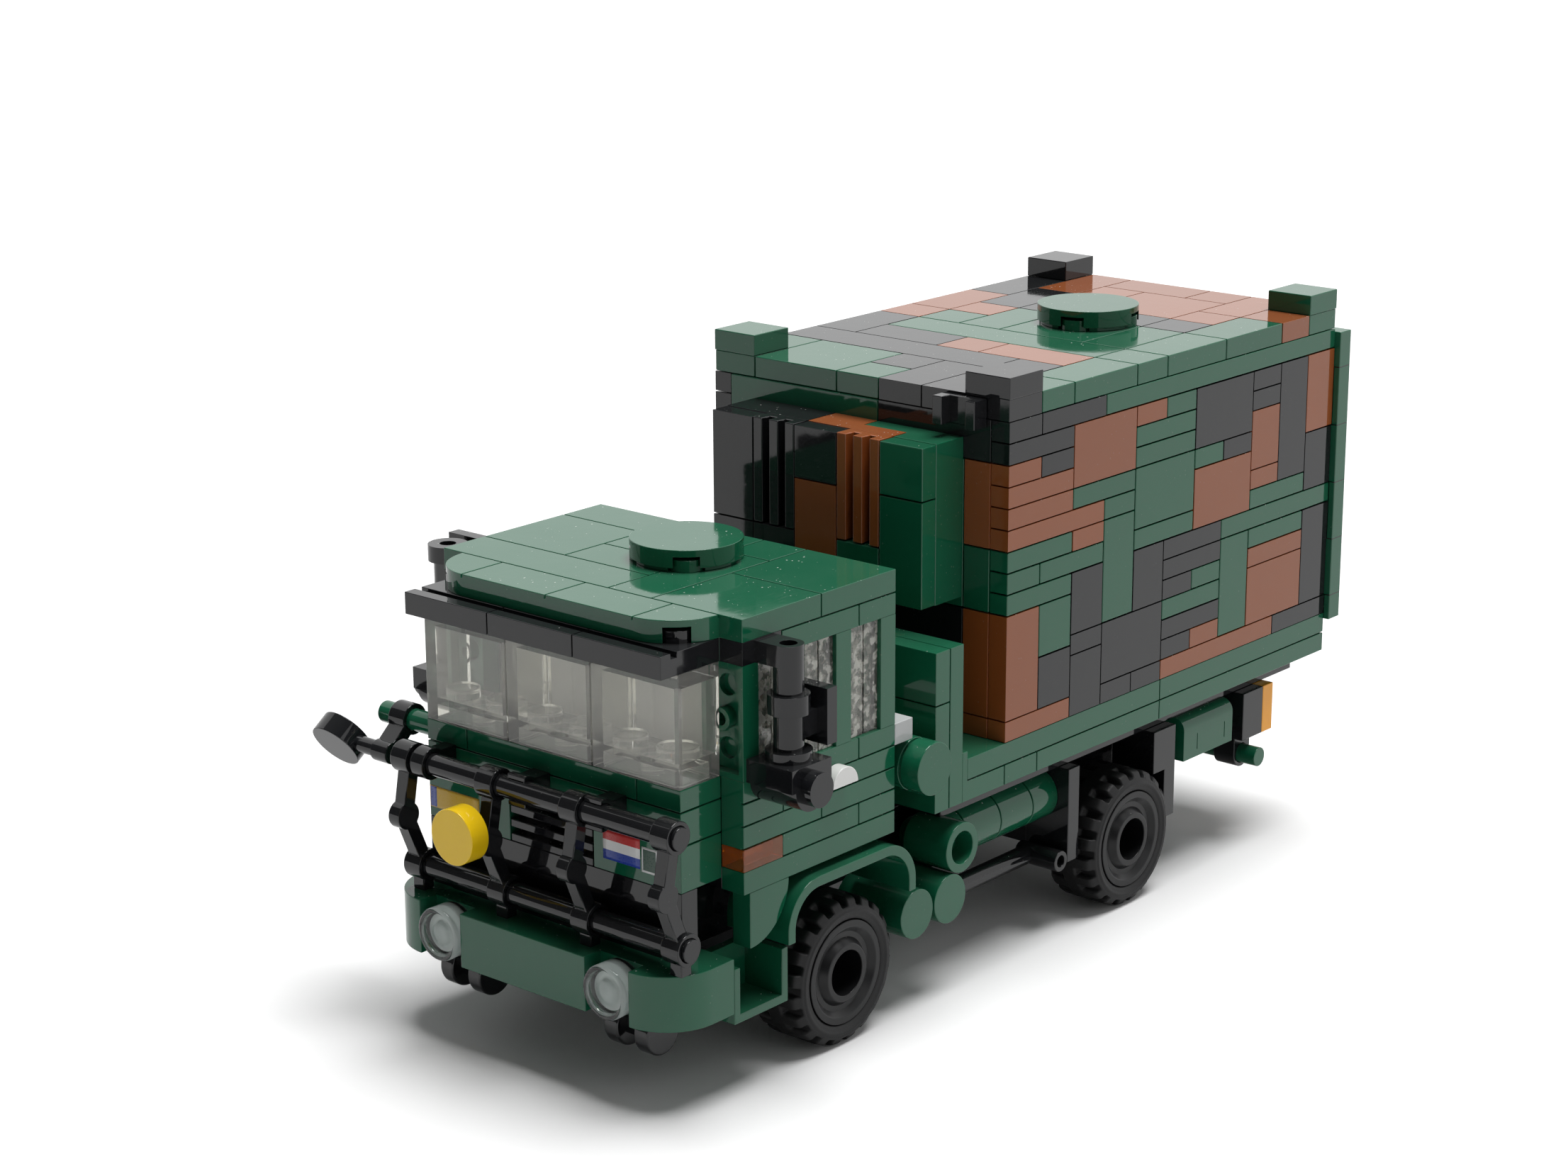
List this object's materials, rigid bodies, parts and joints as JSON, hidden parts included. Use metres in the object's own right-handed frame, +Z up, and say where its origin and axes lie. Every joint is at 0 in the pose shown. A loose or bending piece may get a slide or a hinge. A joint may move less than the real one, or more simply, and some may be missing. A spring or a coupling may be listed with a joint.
{
  "type": "toy brick-built military box truck",
  "caption": "Toy military box truck of interlocking plastic bricks: glazed cab with bull bar, flat bed, camouflage tiled box body with air conditioner, freely turning lugged wheels.",
  "frame": {"origin": "on the floor under the middle of the truck's box", "axes": "+Z up; +Y towards the rear of the truck, so the cab looks along -Y; +X towards the truck's left side"},
  "size_m": [0.0834, 0.1678, 0.0896],
  "materials": {
    "green_plastic": "glossy moulded",
    "brown_plastic": "glossy moulded",
    "black_plastic": "glossy moulded",
    "clear_plastic": "clear, glossy",
    "amber_clear": "clear, glossy",
    "grey_plastic": "glossy moulded",
    "white_plastic": "glossy moulded",
    "yellow_plastic": "glossy moulded",
    "tyre": "matte moulded rubber"
  },
  "bodies": {
    "truck": {"chassis_frame": "black_plastic", "front_axle": "black_plastic", "rear_axle": "black_plastic", "sub_frame": "black_plastic", "bed_lower": "green_plastic", "bed_upper": "green_plastic", "headboard": "green_plastic", "valance": "black_plastic", "bumper": "green_plastic", "headlamps": "clear_plastic", "bull_bar_rods": "black_plastic", "bull_bar_arms": "black_plastic", "sign_disc": "yellow_plastic", "cab_floor": "black_plastic", "cab_walls": "green_plastic", "cab_nose": "green_plastic", "grille": "black_plastic", "corner_lamps": "amber_clear", "windscreen": "clear_plastic", "side_windows": "clear_plastic", "cab_pillars": "green_plastic", "cab_roof": "green_plastic", "sun_visor": "black_plastic", "roof_hatches": "green_plastic", "mirror_posts": "black_plastic", "front_mirror_bar": "green_plastic", "front_mirror": "black_plastic", "door_handles": "white_plastic", "mudguards": "green_plastic", "grey_plates": "grey_plastic", "steps": "green_plastic", "air_bottles": "green_plastic", "side_tanks": "green_plastic", "exhausts": "black_plastic", "mud_flaps": "black_plastic", "lockers": "green_plastic", "rear_bar": "black_plastic", "rear_rod": "green_plastic", "rear_lamps": "amber_clear", "container_sides": "green_plastic", "container_ends": "green_plastic", "container_roof": "green_plastic", "container_door": "green_plastic", "camo_green": "green_plastic", "camo_brown": "brown_plastic", "camo_black": "black_plastic", "castings_green": "green_plastic", "castings_black": "black_plastic", "aircon": "green_plastic", "aircon_grille_black": "black_plastic", "aircon_grille_brown": "brown_plastic"},
    "wheel_fl": {"rim_fl": "black_plastic", "tyre_fl": "tyre"},
    "wheel_fr": {"rim_fr": "black_plastic", "tyre_fr": "tyre"},
    "wheel_rl": {"rim_rl": "black_plastic", "tyre_rl": "tyre"},
    "wheel_rr": {"rim_rr": "black_plastic", "tyre_rr": "tyre"}
  },
  "joints": [
    {"name": "wheel_fl_spin", "type": "hinge", "parent": "truck", "child": "wheel_fl", "pos_m": [0.02725, -0.04325, 0.0108], "axis": [1, 0, 0], "continuous": true},
    {"name": "wheel_fr_spin", "type": "hinge", "parent": "truck", "child": "wheel_fr", "pos_m": [-0.01915, -0.04325, 0.0108], "axis": [1, 0, 0], "continuous": true},
    {"name": "wheel_rl_spin", "type": "hinge", "parent": "truck", "child": "wheel_rl", "pos_m": [0.02725, 0.02635, 0.0108], "axis": [1, 0, 0], "continuous": true},
    {"name": "wheel_rr_spin", "type": "hinge", "parent": "truck", "child": "wheel_rr", "pos_m": [-0.01915, 0.02635, 0.0108], "axis": [1, 0, 0], "continuous": true}
  ]
}
